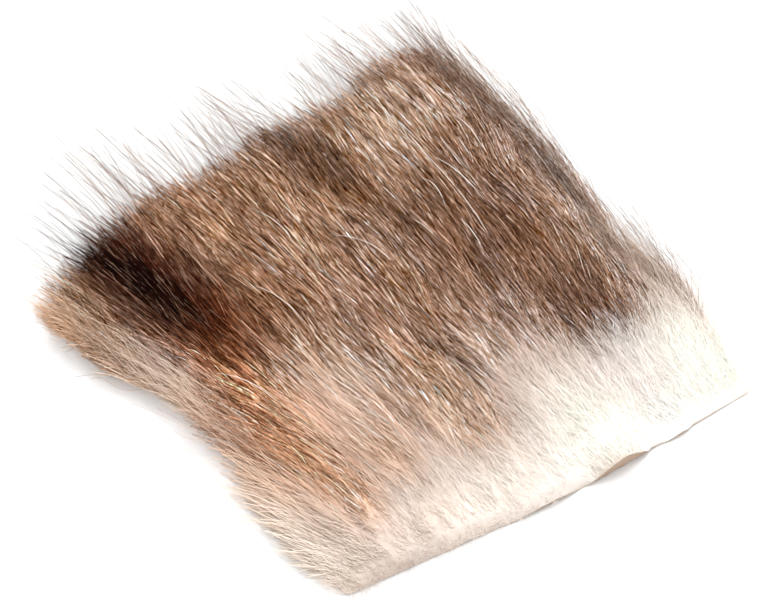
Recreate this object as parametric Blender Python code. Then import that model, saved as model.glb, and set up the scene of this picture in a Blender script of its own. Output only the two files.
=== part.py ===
"""Opossum skin: a knife-cut patch of tanned hide about 100 mm square, lying flat, fur side up.

Two solids: "hide", the leather sheet, whose near cut edge lifts off the surface in small waves,
and "fur", the coat that grows from it. The fur is a lumpy slab that starts thin at the cut edge,
leans towards the far side, hangs over the other three edges and ends there in pointed locks.
Metres, +Z up. The near cut edge runs along +X. The origin is the middle of the base.
"""

import math
import random

import bmesh
import bpy
from mathutils import Vector, noise

MM = 0.001

# The hide's outline, seen from above
CUT_EDGE = 100 * MM
LEFT_SIDE = 91 * MM
RIGHT_SIDE = 112 * MM
LEFT_LEAN = math.radians(8.3)
RIGHT_LEAN = math.radians(2.6)
CUT_EDGE_BOW = 2.2 * MM
LEFT_FLARE = 7 * MM
LEFT_FLARE_FROM = 0.45
LEFTMOST = -math.sin(LEFT_LEAN) * LEFT_SIDE - LEFT_FLARE

# The hide's thickness, and the waves in which its cut edge has dried off the surface
HIDE_THICKNESS = 1.0 * MM
WAVE_COLUMNS = ("centre_mm", "half_width_mm", "lift_mm", "reach_mm")
WAVES = (
    (25.0, 9.0, 0.8, 9.0),
    (46.5, 12.0, 1.9, 17.0),
    (66.5, 11.0, 3.7, 23.0),
    (82.0, 7.5, 1.5, 12.0),
    (90.5, 5.5, 0.7, 8.0),
)

# The coat: its depth over the hide, thin at the cut edge and rounded off at the other rims
FUR_GAP = 0.45 * MM
FUR_MARGIN = 0.7 * MM
FUR_DEPTH = 11.5 * MM
DEPTH_AT_CUT_LEFT = 4.0 * MM
DEPTH_AT_CUT_RIGHT = 1.0 * MM
FULL_DEPTH_FROM_LEFT = 0.22
FULL_DEPTH_FROM_RIGHT = 0.42
ROUNDING = 0.16
RIM_DEPTH_SHARE = 0.62

# How far the hairs lie over before they reach the top, and how far the rims puff out
LAYOVER_LEFT = 11.0 * MM
LAYOVER_RIGHT = 15.0 * MM
PUFF = 4.5 * MM
SIDE_PUFF_POWER = 9
BACK_PUFF_FROM = 0.87
LOBE_PUFF = 4.5 * MM
LOBE_MIDDLE = 0.80
LOBE_HALF_WIDTH = 0.30

# The lumps, long along the hairs and narrow across them
LUMP_HEIGHT = 2.6 * MM
LUMP_ACROSS = 5.0 * MM
LUMP_ALONG = 17.0 * MM
RIM_JITTER = 0.8 * MM

# The direction in which the hairs lie, in degrees from +X, and how it fans out to the left
LIE_RIGHT = 88.0
LIE_FAN = 32.0
LIE_FAN_POWER = 1.5
LIE_FRONT_LEFT = 18.0
LIE_FRONT_LEFT_POWER = 2

# The locks that stand out from the rim in tiers, four-sided and pointed
LOCK_SEED = 7
LOCK_TIERS = 2
LOCK_LENGTH_LEFT = 12.0 * MM
LOCK_LENGTH_RIGHT = 14.0 * MM
LOCK_SHORTEST = 0.55
LOCK_LONGEST = 1.3
LOCK_LENGTH_ALONG_HAIRS = 0.55
LOCK_SPREAD = 0.30
LOCK_SWING = 0.09
LOCK_RISE_OF_TIER = 0.22
LOCK_ROOT_SHARE = 0.90
LOCK_WAIST_AT = 0.52
LOCK_WAIST_SHARE = 0.66
LOCK_DROOP = 0.12
LOCK_LEAST_HEIGHT = 0.35 * MM
LOCKS_LEFT_OUT = 0.10

# The grid that both solids share
COLUMNS = 46
ROWS = 24
ROW_CROWDING = 1.2


def smooth(value):
    """0 to 1 with level ends, for a value from 0 to 1, and held beyond them."""
    value = min(max(value, 0.0), 1.0)
    return value * value * (3 - 2 * value)


def between(low, high, share):
    return low + (high - low) * share


def outline_point(s, t):
    """The place on the hide at share s along the cut edge and share t away from it."""
    left = Vector((-math.sin(LEFT_LEAN), math.cos(LEFT_LEAN))) * LEFT_SIDE * t
    left.x -= LEFT_FLARE * smooth((t - LEFT_FLARE_FROM) / (1 - LEFT_FLARE_FROM))
    right = Vector((-math.sin(RIGHT_LEAN), math.cos(RIGHT_LEAN))) * RIGHT_SIDE * t
    place = left.lerp(Vector((CUT_EDGE, 0.0)) + right, s)
    place.y -= CUT_EDGE_BOW * math.sin(math.pi * min(max(s, 0.0), 1.0)) * (1 - t)
    return place


def hide_lift(place):
    """How far the hide's underside is off the surface: the sum of the waves."""
    lift = 0.0
    for row in WAVES:
        wave = dict(zip(WAVE_COLUMNS, row))
        across = abs(place.x - wave["centre_mm"] * MM) / (wave["half_width_mm"] * MM)
        inland = max(place.y + CUT_EDGE_BOW, 0.0) / (wave["reach_mm"] * MM)
        lift += wave["lift_mm"] * MM * smooth(1 - across) * smooth(1 - inland)
    return lift


def lie(s, t):
    """The level unit vector along which the hairs lie."""
    from_right = max(1 - s, 0.0)
    degrees = LIE_RIGHT + LIE_FAN * from_right**LIE_FAN_POWER
    degrees += LIE_FRONT_LEFT * from_right**LIE_FRONT_LEFT_POWER * (1 - t)
    return Vector((math.cos(math.radians(degrees)), math.sin(math.radians(degrees))))


def fur_offset(s, t, place):
    """From the skin to the coat's top: over along the hairs, out at the rims, and up."""
    full_from = between(FULL_DEPTH_FROM_LEFT, FULL_DEPTH_FROM_RIGHT, s)
    at_cut = between(DEPTH_AT_CUT_LEFT, DEPTH_AT_CUT_RIGHT, s)
    depth = between(at_cut, FUR_DEPTH, smooth(t / full_from))
    share = depth / FUR_DEPTH

    from_rim = min(max(min(s, 1 - s, 1 - t) / ROUNDING, 0), 1)
    rounded = between(RIM_DEPTH_SHARE, 1, math.sin(0.5 * math.pi * from_rim))
    along = lie(s, t)
    across = Vector((along.y, -along.x))
    lump = noise.noise((place.dot(across) / LUMP_ACROSS, place.dot(along) / LUMP_ALONG, 0.0))

    puff_back = smooth((t - BACK_PUFF_FROM) / (1 - BACK_PUFF_FROM))
    puffed = Vector((PUFF * (2 * s - 1) ** SIDE_PUFF_POWER, PUFF * puff_back))
    lobe = smooth(1 - abs(t - LOBE_MIDDLE) / LOBE_HALF_WIDTH) * smooth(1 - s / LOBE_HALF_WIDTH)
    puffed.x -= LOBE_PUFF * lobe
    over = (along * between(LAYOVER_LEFT, LAYOVER_RIGHT, s) + puffed) * share
    return Vector((over.x, over.y, depth * rounded + LUMP_HEIGHT * lump * share))


def grid_shares():
    """(s, t) for each column and row of the shared grid. The rows crowd towards the cut edge."""
    return [
        [(column / COLUMNS, (row / ROWS) ** ROW_CROWDING) for column in range(COLUMNS + 1)]
        for row in range(ROWS + 1)
    ]


def inside(s, t):
    """The same shares, drawn in from the hide's outline by the fur's margin."""
    margin = FUR_MARGIN / CUT_EDGE
    return margin + s * (1 - 2 * margin), margin + t * (1 - 2 * margin)


def material(name, colour, roughness):
    made = bpy.data.materials.new(name)
    made.use_nodes = True
    shader = made.node_tree.nodes["Principled BSDF"]
    shader.inputs["Base Color"].default_value = (*colour, 1.0)
    shader.inputs["Roughness"].default_value = roughness
    shader.inputs["Metallic"].default_value = 0.0
    return made


def sheet_faces(bm, grid, up):
    for low, high in zip(grid, grid[1:]):
        for a, b, c, d in zip(low, low[1:], high[1:], high):
            bm.faces.new((a, b, c, d) if up else (d, c, b, a))


def perimeter(grid):
    """The grid's rim, once round against the clock seen from above, starting with the cut edge."""
    front = grid[0][:-1]
    right = [row[-1] for row in grid[:-1]]
    back = grid[-1][:0:-1]
    left = [row[0] for row in grid[:0:-1]]
    return front + right + back + left


def rings_between(rim_low, rim_high):
    return list(zip(rim_low, rim_low[1:] + rim_low[:1], rim_high[1:] + rim_high[:1], rim_high))


def finish_object(name, bm, finish):
    bmesh.ops.recalc_face_normals(bm, faces=bm.faces)
    mesh = bpy.data.meshes.new(name)
    bm.to_mesh(mesh)
    bm.free()
    mesh.materials.append(finish)
    made = bpy.data.objects.new(name, mesh)
    bpy.context.scene.collection.objects.link(made)
    return made


def make_hide(finish):
    """The leather sheet: its underside, its top side one thickness higher, and the cut edges."""
    bm = bmesh.new()
    under, top = [], []
    for row in grid_shares():
        places = [outline_point(s, t) for s, t in row]
        heights = [hide_lift(place) for place in places]
        under.append([bm.verts.new((p.x, p.y, z)) for p, z in zip(places, heights)])
        top.append([bm.verts.new((p.x, p.y, z + HIDE_THICKNESS)) for p, z in zip(places, heights)])
    sheet_faces(bm, under, up=False)
    sheet_faces(bm, top, up=True)
    for edge in rings_between(perimeter(under), perimeter(top)):
        bm.faces.new(edge)
    return finish_object("hide", bm, finish)


def add_lock(bm, root, way, length):
    """Draws a pointed four-sided lock out of the rim face whose corners are root."""
    middle = sum((corner.co for corner in root), Vector()) / len(root)
    collar = [bm.verts.new(middle.lerp(corner.co, LOCK_ROOT_SHARE)) for corner in root]
    bend = middle + way * length * LOCK_WAIST_AT
    tip = bm.verts.new(middle + (way - Vector((0, 0, LOCK_DROOP))) * length)
    waist = [bm.verts.new(bend + (corner.co - middle) * LOCK_WAIST_SHARE) for corner in collar]

    sunk = LOCK_LEAST_HEIGHT - min(corner.co.z for corner in waist)
    if sunk > 0:
        for corner in waist:
            corner.co.z += sunk
    tip.co.z = max(tip.co.z, LOCK_LEAST_HEIGHT)

    for ring_low, ring_high in ((list(root), collar), (collar, waist)):
        for face in rings_between(ring_low, ring_high):
            bm.faces.new(face)
    for a, b in zip(waist, waist[1:] + waist[:1]):
        bm.faces.new((a, b, tip))


def lock_way(along, outward, tier, draw):
    """The direction of a lock: along the hairs, a little outward, and higher in the upper tier."""
    way = along + outward * LOCK_SPREAD
    way += Vector((draw.uniform(-LOCK_SWING, LOCK_SWING), draw.uniform(-LOCK_SWING, LOCK_SWING), 0))
    way.normalize()
    way.z = LOCK_RISE_OF_TIER * tier + draw.uniform(-LOCK_SWING, LOCK_SWING)
    return way


def make_fur(finish):
    """The coat: a slab whose top lies over along the hairs, with locks round three sides."""
    bm = bmesh.new()
    base, top, lies = [], [], []
    for row in grid_shares():
        base_row, top_row, lie_row = [], [], []
        for s, t in (inside(*shares) for shares in row):
            place = outline_point(s, t)
            root = Vector((place.x, place.y, hide_lift(place) + HIDE_THICKNESS + FUR_GAP))
            base_row.append(bm.verts.new(root))
            top_row.append(bm.verts.new(root + fur_offset(s, t, place)))
            lie_row.append(lie(s, t).to_3d())
        base.append(base_row)
        top.append(top_row)
        lies.append(lie_row)
    sheet_faces(bm, base, up=False)
    sheet_faces(bm, top, up=True)

    draw = random.Random(LOCK_SEED)
    for corner in perimeter(top)[COLUMNS + 1:]:
        corner.co += Vector([draw.uniform(-RIM_JITTER, RIM_JITTER) for _ in range(3)])

    tiers = [perimeter(base)]
    for tier in range(1, LOCK_TIERS):
        pairs = zip(perimeter(base), perimeter(top))
        tiers.append([bm.verts.new(low.co.lerp(high.co, tier / LOCK_TIERS)) for low, high in pairs])
    tiers.append(perimeter(top))

    rim_lies = perimeter(lies)
    for tier, (low, high) in enumerate(zip(tiers, tiers[1:])):
        for number, face in enumerate(rings_between(low, high)):
            if number < COLUMNS or draw.random() < LOCKS_LEFT_OUT:
                bm.faces.new(face)
                continue
            along = rim_lies[number]
            edge = face[1].co - face[0].co
            outward = Vector((edge.y, -edge.x, 0)).normalized()
            overhang = max(along.dot(outward), 0) * LOCK_LENGTH_ALONG_HAIRS
            to_right = (face[0].co.x - LEFTMOST) / (CUT_EDGE - LEFTMOST)
            length = between(LOCK_LENGTH_LEFT, LOCK_LENGTH_RIGHT, to_right)
            length *= (1 - LOCK_LENGTH_ALONG_HAIRS + overhang) * draw.uniform(LOCK_SHORTEST, LOCK_LONGEST)
            add_lock(bm, face, lock_way(along, outward, tier, draw), length)
    return finish_object("fur", bm, finish)


def centre_on_base(objects):
    """Moves the meshes so that the origin is the middle of the whole thing's base."""
    corners = [vertex.co for made in objects for vertex in made.data.vertices]
    low = Vector([min(c[axis] for c in corners) for axis in range(3)])
    high = Vector([max(c[axis] for c in corners) for axis in range(3)])
    offset = Vector((-(low.x + high.x) / 2, -(low.y + high.y) / 2, -low.z))
    for made in objects:
        for vertex in made.data.vertices:
            vertex.co += offset


for existing in list(bpy.data.objects):
    bpy.data.objects.remove(existing)

leather = material("tanned_leather", (0.80, 0.70, 0.58), 0.75)
brown_fur = material("brown_fur", (0.36, 0.23, 0.15), 0.85)
centre_on_base([make_hide(leather), make_fur(brown_fur)])
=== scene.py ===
# %% [markdown]
# # Opossum skin
#
# A patch of tanned opossum skin about 100 mm square lies flat, fur side up. One edge is a bare
# knife cut that has dried into small waves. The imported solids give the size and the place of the
# hide and of its coat. This lesson replaces both by what they stand for: a thin sheet of leather,
# and about a hundred and fifty thousand hairs that grow from it.

# %% Load the frame
import math

import bpy
import numpy as np
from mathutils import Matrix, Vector, noise


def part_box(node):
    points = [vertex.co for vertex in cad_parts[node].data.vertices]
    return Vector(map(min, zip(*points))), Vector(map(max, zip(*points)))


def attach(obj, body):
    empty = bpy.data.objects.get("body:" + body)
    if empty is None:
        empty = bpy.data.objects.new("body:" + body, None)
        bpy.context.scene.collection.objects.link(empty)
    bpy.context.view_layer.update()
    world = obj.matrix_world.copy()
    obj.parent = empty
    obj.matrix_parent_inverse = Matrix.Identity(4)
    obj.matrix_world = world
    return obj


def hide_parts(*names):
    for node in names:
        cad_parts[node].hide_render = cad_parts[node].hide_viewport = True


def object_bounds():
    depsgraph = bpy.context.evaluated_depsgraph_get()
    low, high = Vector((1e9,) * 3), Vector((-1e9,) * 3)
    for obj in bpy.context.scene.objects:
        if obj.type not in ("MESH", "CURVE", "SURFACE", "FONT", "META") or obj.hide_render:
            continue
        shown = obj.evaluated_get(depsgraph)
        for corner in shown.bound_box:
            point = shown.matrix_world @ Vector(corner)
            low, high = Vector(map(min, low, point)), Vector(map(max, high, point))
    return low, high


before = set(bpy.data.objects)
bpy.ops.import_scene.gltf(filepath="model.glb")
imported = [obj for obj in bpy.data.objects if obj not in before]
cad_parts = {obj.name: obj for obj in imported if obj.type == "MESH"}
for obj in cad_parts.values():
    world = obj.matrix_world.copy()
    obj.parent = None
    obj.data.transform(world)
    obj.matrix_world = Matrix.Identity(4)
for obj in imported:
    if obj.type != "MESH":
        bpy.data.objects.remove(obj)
cad_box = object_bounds()

MM = 0.001
print("CAD box, mm", [[round(c / MM, 1) for c in corner] for corner in cad_box])

# %% [markdown]
# ## Small tools
#
# Colours are written as the sRGB hex values that a paint program shows and turned into the linear
# values that Blender computes with by one function. One function adds any node with its settings
# and links, so that a whole node tree reads as a list.

# %% Colour and node helpers
def linear(code):
    """An sRGB hex colour as linear red, green and blue."""
    values = np.array([int(code[i : i + 2], 16) / 255 for i in (1, 3, 5)])
    return np.where(values <= 0.04045, values / 12.92, ((values + 0.055) / 1.055) ** 2.4)


def add(tree, kind, settings=None, **sockets):
    """Adds a node. A socket is named by its label, with _ for a space, or by its place, as in i0.

    Its value is a constant, or another socket to link from.
    """
    node = tree.nodes.new(kind)
    for name, value in (settings or {}).items():
        setattr(node, name, value)
    for name, value in sockets.items():
        index = int(name[1:]) if name[0] == "i" and name[1:].isdigit() else name.replace("_", " ")
        socket = node.inputs[index]
        if isinstance(value, bpy.types.NodeSocket):
            tree.links.new(value, socket)
        else:
            socket.default_value = value
    return node


def put(tree, kind, settings=None, **sockets):
    """Adds a node and gives its first output."""
    return add(tree, kind, settings, **sockets).outputs[0]


def maths(tree, operation, a, b=0.0, c=0.0):
    return put(tree, "ShaderNodeMath", {"operation": operation}, i0=a, i1=b, i2=c)


def vector_maths(tree, operation, a, b):
    return put(tree, "ShaderNodeVectorMath", {"operation": operation}, i0=a, i1=b)


def scaled(tree, vector, factor):
    return put(tree, "ShaderNodeVectorMath", {"operation": "SCALE"}, i0=vector, Scale=factor)


def product(tree, first, *others):
    for other in others:
        first = maths(tree, "MULTIPLY", first, other)
    return first


def blend(tree, a, b, share):
    """A share of the first value and the rest of the second."""
    return maths(tree, "MULTIPLY_ADD", a, share, maths(tree, "MULTIPLY", b, 1 - share))


def noise_texture(tree, where, size_mm, **settings):
    """Noise from 0 to 1 with lumps of the given real size."""
    return put(tree, "ShaderNodeTexNoise", Vector=where, Scale=1 / (size_mm * MM), **settings)


def stored(tree, name, output):
    """What the mesh has stored under this name."""
    return add(tree, "ShaderNodeAttribute", {"attribute_name": name}).outputs[output]


def two_tones(tree, share, dark, light, low=0.35, high=0.65):
    """A colour that goes from dark at a low share to light at a high one."""
    ramp = add(tree, "ShaderNodeValToRGB", Fac=share)
    for element, place, code in zip(ramp.color_ramp.elements, (low, high), (dark, light)):
        element.position = place
        element.color = (*linear(code), 1)
    return ramp.outputs[0]


# %% Number helpers
def smooth(value):
    """0 below 0, 1 above 1, and an even slope with rounded ends between them."""
    value = np.clip(value, 0.0, 1.0)
    return value * value * (3 - 2 * value)


def between(low, high, share):
    return low + (high - low) * share


def rows(columns, table):
    """Each row of a table as a dictionary with the columns' names."""
    return [dict(zip(columns, row)) for row in table]


# %% [markdown]
# ## The skin's plan
#
# The hide is a quadrilateral patch: the cut edge in front, two sides that lean to the left and a
# far edge. A place on it is given by its share s along the cut edge and its share t away from it.
# The plan and the waves have the solids' sizes, so everything that is made here lies where the
# solids lie. Two things are finer than in the solids. At the largest waves the thin leather curls
# up more steeply, and the hair swirls and spreads about the direction in which the locks lie. The
# steep curl also shows the tan flesh side under the lifted edge, as painted shade for the tan
# shade that falls there.

# %% The plan
CUT_EDGE = 100 * MM
LEFT_SIDE = 91 * MM
RIGHT_SIDE = 112 * MM
LEFT_LEAN = math.radians(8.3)
RIGHT_LEAN = math.radians(2.6)
CUT_EDGE_BOW = 2.2 * MM
LEFT_FLARE = 7 * MM
LEFT_FLARE_FROM = 0.45

hide_low, hide_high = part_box("hide")
CORNER = np.array([hide_high[0] - CUT_EDGE, hide_low[1] + CUT_EDGE_BOW])


def plan(s, t):
    """Places on the hide, in metres from the left end of the cut edge, for arrays of shares."""
    left_x = -math.sin(LEFT_LEAN) * LEFT_SIDE * t
    left_x = left_x - LEFT_FLARE * smooth((t - LEFT_FLARE_FROM) / (1 - LEFT_FLARE_FROM))
    left_y = math.cos(LEFT_LEAN) * LEFT_SIDE * t
    right_x = CUT_EDGE - math.sin(RIGHT_LEAN) * RIGHT_SIDE * t
    right_y = math.cos(RIGHT_LEAN) * RIGHT_SIDE * t
    bow = CUT_EDGE_BOW * np.sin(math.pi * np.clip(s, 0, 1)) * (1 - t)
    return np.stack([between(left_x, right_x, s), between(left_y, right_y, s) - bow], axis=-1)


# %% The waves of the cut edge
WAVE_COLUMNS = ("centre_mm", "half_width_mm", "lift_mm", "reach_mm")
WAVES = (
    (25.0, 9.0, 0.8, 9.0),
    (46.5, 12.0, 1.9, 17.0),
    (66.5, 11.0, 3.7, 23.0),
    (82.0, 7.5, 1.5, 12.0),
    (90.5, 5.5, 0.7, 8.0),
)


def hide_lift(places):
    """How far the hide's underside is off the surface."""
    lift = np.zeros(places.shape[:-1])
    for wave in rows(WAVE_COLUMNS, WAVES):
        across = np.abs(places[..., 0] - wave["centre_mm"] * MM) / (wave["half_width_mm"] * MM)
        inland = np.maximum(places[..., 1] + CUT_EDGE_BOW, 0) / (wave["reach_mm"] * MM)
        lift += wave["lift_mm"] * MM * smooth(1 - across) * smooth(1 - inland)
    return lift


# Painted shade: the lips curl the cut edge up so steeply that its tan flesh side shows under the lifted edge and
# stands for the tan shade that falls there.
LIP_COLUMNS = ("left_mm", "peak_mm", "right_mm", "height_mm", "lift_share")
LIPS = (
    (30.0, 47.0, 54.5, 1.1, 0.4),
    (54.0, 64.5, 72.0, 4.9, 0.1),
    (74.5, 80.5, 84.0, 1.1, 0.3),
)
LIFT_AT_EDGE = 0.3
LIFT_LOW_WITHIN = 12 * MM
LIP_ROOM = 4.0 * MM
LIP_DEGREES = 84.0
LIP_BEND = 0.9 * MM
LIP_STEPS = 8
LIP_PEAKED = 0.5
LIP_PEAK_POWER = 0.8
LIP_SINKS_FROM = 1.3
LIP_SINKS_WITHIN = 9 * MM


def hide_surface(s, t):
    """Places on the hide's underside. At the three largest waves the cut edge curls up steeply, and its tan flesh
    side then stands as painted shade under the lifted edge.
    """
    places = plan(s, t)
    x, y = places[..., 0], places[..., 1]
    inland = np.maximum(y - plan(s, np.zeros_like(s))[..., 1], 0)
    lift = hide_lift(places) * between(LIFT_AT_EDGE, 1.0, smooth(inland / LIFT_LOW_WITHIN))
    for lip in rows(LIP_COLUMNS, LIPS):
        rising = (x / MM - lip["left_mm"]) / (lip["peak_mm"] - lip["left_mm"])
        falling = (lip["right_mm"] - x / MM) / (lip["right_mm"] - lip["peak_mm"])
        share = np.clip(np.minimum(rising, falling), 0, 1)
        share = LIP_PEAKED * share**LIP_PEAK_POWER + (1 - LIP_PEAKED) * smooth(share)
        length = lip["height_mm"] * MM * share
        along = inland * (LIP_ROOM + length) / LIP_ROOM - length
        along = np.where(inland < LIP_ROOM, along, inland)
        past = np.maximum(-along, 0)
        sunk = np.clip(LIP_SINKS_FROM - inland / LIP_SINKS_WITHIN, 0, 1)
        lift = lift * (1 - (1 - lip["lift_share"]) * share * sunk)
        run = np.zeros_like(x)
        for step in (np.arange(LIP_STEPS) + 0.5) / LIP_STEPS:
            angle = np.radians(LIP_DEGREES) * smooth(step * past / LIP_BEND)
            lift = lift + np.sin(angle) * past / LIP_STEPS
            run = run + np.cos(angle) * past / LIP_STEPS
        y = y + np.where(share > 0, np.maximum(along, 0) - run - inland, 0)
    return np.dstack([x + CORNER[0], y + CORNER[1], lift])


# %% The lie of the hair
LIE_RIGHT = 90.0
LIE_FAN = 11.0
LIE_FAN_POWER = 1.2
LIE_FRONT_LEFT = 16.0


def lie_degrees(s, t):
    """The direction the hair lies in, from the direction of the cut edge."""
    from_right = np.clip(1 - s, 0, 1)
    fan = LIE_FAN * from_right**LIE_FAN_POWER
    return LIE_RIGHT + fan + LIE_FRONT_LEFT * from_right**2 * (1 - t) ** 2


# %% Noise, grids and meshes
NOISE_GAIN = 1.6


def perlin(x, y, size, layer):
    """Soft noise from about -1 to 1 over arrays of places, with lumps of the given size."""
    flat = zip(np.ravel(x) / size, np.ravel(y) / size)
    values = [noise.noise((a, b, layer)) for a, b in flat]
    return np.array(values).reshape(np.shape(x)) * NOISE_GAIN


def share_grid(columns, rows, power, inset=0.0):
    """The shares s and t of a grid's points, their numbers, and the grid's faces."""
    s = np.linspace(inset, 1 - inset, columns + 1)
    t = np.linspace(inset, 1 - inset, rows + 1) ** power
    number = np.arange((columns + 1) * (rows + 1)).reshape(rows + 1, -1)
    corners = number[:-1, :-1], number[:-1, 1:], number[1:, 1:], number[1:, :-1]
    return *np.meshgrid(s, t), number, np.stack(corners, -1).reshape(-1, 4)


def mesh_object(name, vertices, faces, materials, face_material=None):
    mesh = bpy.data.meshes.new(name)
    mesh.from_pydata([tuple(v) for v in vertices], [], faces)
    for material in materials:
        mesh.materials.append(material)
    if face_material is not None:
        mesh.polygons.foreach_set("material_index", face_material)
    mesh.polygons.foreach_set("use_smooth", [True] * len(mesh.polygons))
    mesh.update()
    made = bpy.data.objects.new(name, mesh)
    bpy.context.scene.collection.objects.link(made)
    return made


def keep(mesh, name, values, kind="FLOAT"):
    """Stores an array under a name at the mesh's points."""
    key = {"FLOAT": "value", "FLOAT_VECTOR": "vector", "FLOAT_COLOR": "color"}[kind]
    mesh.attributes.new(name, kind, "POINT").data.foreach_set(key, np.ravel(values))


def opaque(colour):
    """Colours with an alpha of 1."""
    return np.concatenate([colour.reshape(-1, 3), np.ones((colour.size // 3, 1))], axis=1)


# %% [markdown]
# ## Leather
#
# Tanned leather has three faces. The grain side, where the hair grew, is smooth and pale. The flesh
# side is tan suede, rough from the scraping. The cut edge shows raw fibre. Each could be an image
# on a UV map. Noise in real millimetres was chosen, because it needs no file and holds up close.
# One function makes all three, so they differ only in colour, grain and roughness.

# %% Leather materials
def new_material(name, **settings):
    material = bpy.data.materials.new(name)
    material.use_nodes = True
    shader = material.node_tree.nodes["Principled BSDF"]
    for socket, value in settings.items():
        shader.inputs[socket.replace("_", " ")].default_value = value
    return material, material.node_tree, shader


STAIN_MM = 14


def leather_material(name, dark, light, grain_mm, bump_mm, roughness):
    material, tree, shader = new_material(name, Roughness=roughness, Specular_IOR_Level=0.3)
    where = add(tree, "ShaderNodeTexCoord").outputs["Object"]
    fibres = noise_texture(tree, where, grain_mm, Detail=5.0)
    stains = noise_texture(tree, where, STAIN_MM, Detail=2.0)
    share = blend(tree, fibres, stains, 0.5)
    tree.links.new(two_tones(tree, share, dark, light), shader.inputs["Base Color"])
    bump = add(tree, "ShaderNodeBump", Height=fibres, Distance=bump_mm * MM, Strength=1.0)
    tree.links.new(bump.outputs[0], shader.inputs["Normal"])
    return material


LEATHER_FACES = (
    # The grain side is pale leather, darkened a little as painted shade along the cut edge.
    leather_material("leather_grain_side_tanned", "#d9c6b4", "#efe2d3", grain_mm=0.5, bump_mm=0.05, roughness=0.6),
    # The flesh side shows only at the lips, so its tan is also painted shade for the shade under the lifted edge.
    leather_material("leather_flesh_side_suede", "#a38872", "#c2a995", grain_mm=0.35, bump_mm=0.10, roughness=0.9),
    leather_material("leather_cut_edge_raw", "#c9b6a2", "#e6d8c6", grain_mm=0.25, bump_mm=0.05, roughness=0.75),
)
GRAIN, FLESH, CUT = range(len(LEATHER_FACES))

# %% [markdown]
# ## The leather sheet
#
# The skin is one thin sheet. It could be a plane with a Solidify modifier. Here its two sides are
# grids that are joined around the rim, because the knife cut then gets faces and a material of its
# own and can wander as a knife does. Rows are closer together near the cut edge, where the waves
# need them.

# %% The leather sheet
LEATHER = 0.4 * MM
SHEET_COLUMNS = 220
SHEET_ROWS = 36
ROWS_TO_EDGE = 2
KNIFE_WOBBLE = 0.12 * MM
KNIFE_WOBBLE_LENGTH = 4 * MM
KNIFE_WOBBLE_FADE = 2.0 * MM
OFF_FLOOR = 0.02 * MM


def make_leather():
    """The sheet as one closed mesh, and the area of one of its sides."""
    s, t, number, quads = share_grid(SHEET_COLUMNS, SHEET_ROWS, ROWS_TO_EDGE)
    under = hide_surface(s, t)
    inland = under[..., 1] - under[:1, :, 1]
    wobble = perlin(under[0, :, 0], under[0, :, 1], KNIFE_WOBBLE_LENGTH, layer=3.0) * KNIFE_WOBBLE
    under[..., 1] += wobble * np.clip(1 - inland / KNIFE_WOBBLE_FADE, 0, 1)
    out = np.cross(np.gradient(under, axis=1), np.gradient(under, axis=0))
    out /= np.linalg.norm(out, axis=-1, keepdims=True)
    under[..., 2] = np.maximum(under[..., 2], OFF_FLOOR)
    top = under + out * LEATHER
    vertices = np.concatenate([under.reshape(-1, 3), top.reshape(-1, 3)])
    rim = np.concatenate([number[0, :-1], number[:-1, -1], number[-1, :0:-1], number[:0:-1, 0]])
    after = np.roll(rim, -1)
    sides = np.stack([rim, after, after + number.size, rim + number.size], -1)
    faces = np.concatenate([quads[:, ::-1], quads + number.size, sides])
    kinds = np.repeat([FLESH, GRAIN, CUT], [len(quads), len(quads), len(sides)])
    sheet = mesh_object("hide_leather", vertices, faces.tolist(), LEATHER_FACES, kinds)
    area = sum(f.area for f in sheet.data.polygons) / 2
    return sheet, area


leather, leather_area = make_leather()
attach(leather, "root")
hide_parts("hide")
print("leather sheet, cm2", round(leather_area * 1e4, 1))

# %% [markdown]
# ## The markings
#
# The coat runs from cream and white at the cut edge to mottled browns, with a near-black stripe, a
# dark band, a rust patch and a beige lobe. It could be painted on an image. A table of soft
# ellipses on the skin, in millimetres, was chosen: each has a place, a size, a turn, a colour and
# an edge, and each lies over the ones before it. Some rows are painted shade, along the cut edge,
# at its left corner and at the lobe's low rim. The cream and beige rows of the left rim and the
# lobe are also lightened as painted light, where light shines through thin hair. Noise that is
# stretched along the lie of the hair adds the mottle between them, and none to cream hair, which
# looks even on a real skin.

# %% The markings
FAN_HEART = np.array([92 * MM, -420 * MM])
FAN_RADIUS = 480 * MM
PALE_FROM = 0.22
PALE_AT = 0.70


def flow(x, y):
    """How far across and along the lie of the hair a place is. The hair fans out from one heart."""
    dx, dy = x - FAN_HEART[0], y - FAN_HEART[1]
    return np.arctan2(dx, dy) * FAN_RADIUS, np.hypot(dx, dy)


# The size of the lumps in mm, how many times longer they are along the lie, and the noise's layer
STREAKS = {
    "mottle": (3.0, 3.5, 21.0),
    "warmth": (6.0, 3.0, 23.0),
    "locks": (1.3, 6, 25.0),
    "lumps": (5, 3.4, 0.0),
    "tufts": (1.7, 5, 7.0),
    "fuzz": (0.8, 3, 9.0),
}


def streaks(what, x, y):
    """Noise that is stretched along the lie of the hair."""
    size_mm, stretch, layer = STREAKS[what]
    across, along = flow(x, y)
    return perlin(across, along / stretch, size_mm * MM, layer)


def paleness(colour):
    """0 for brown hair and 1 for cream and white hair."""
    return smooth((colour.mean(axis=-1) - PALE_FROM) / (PALE_AT - PALE_FROM))


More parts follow.
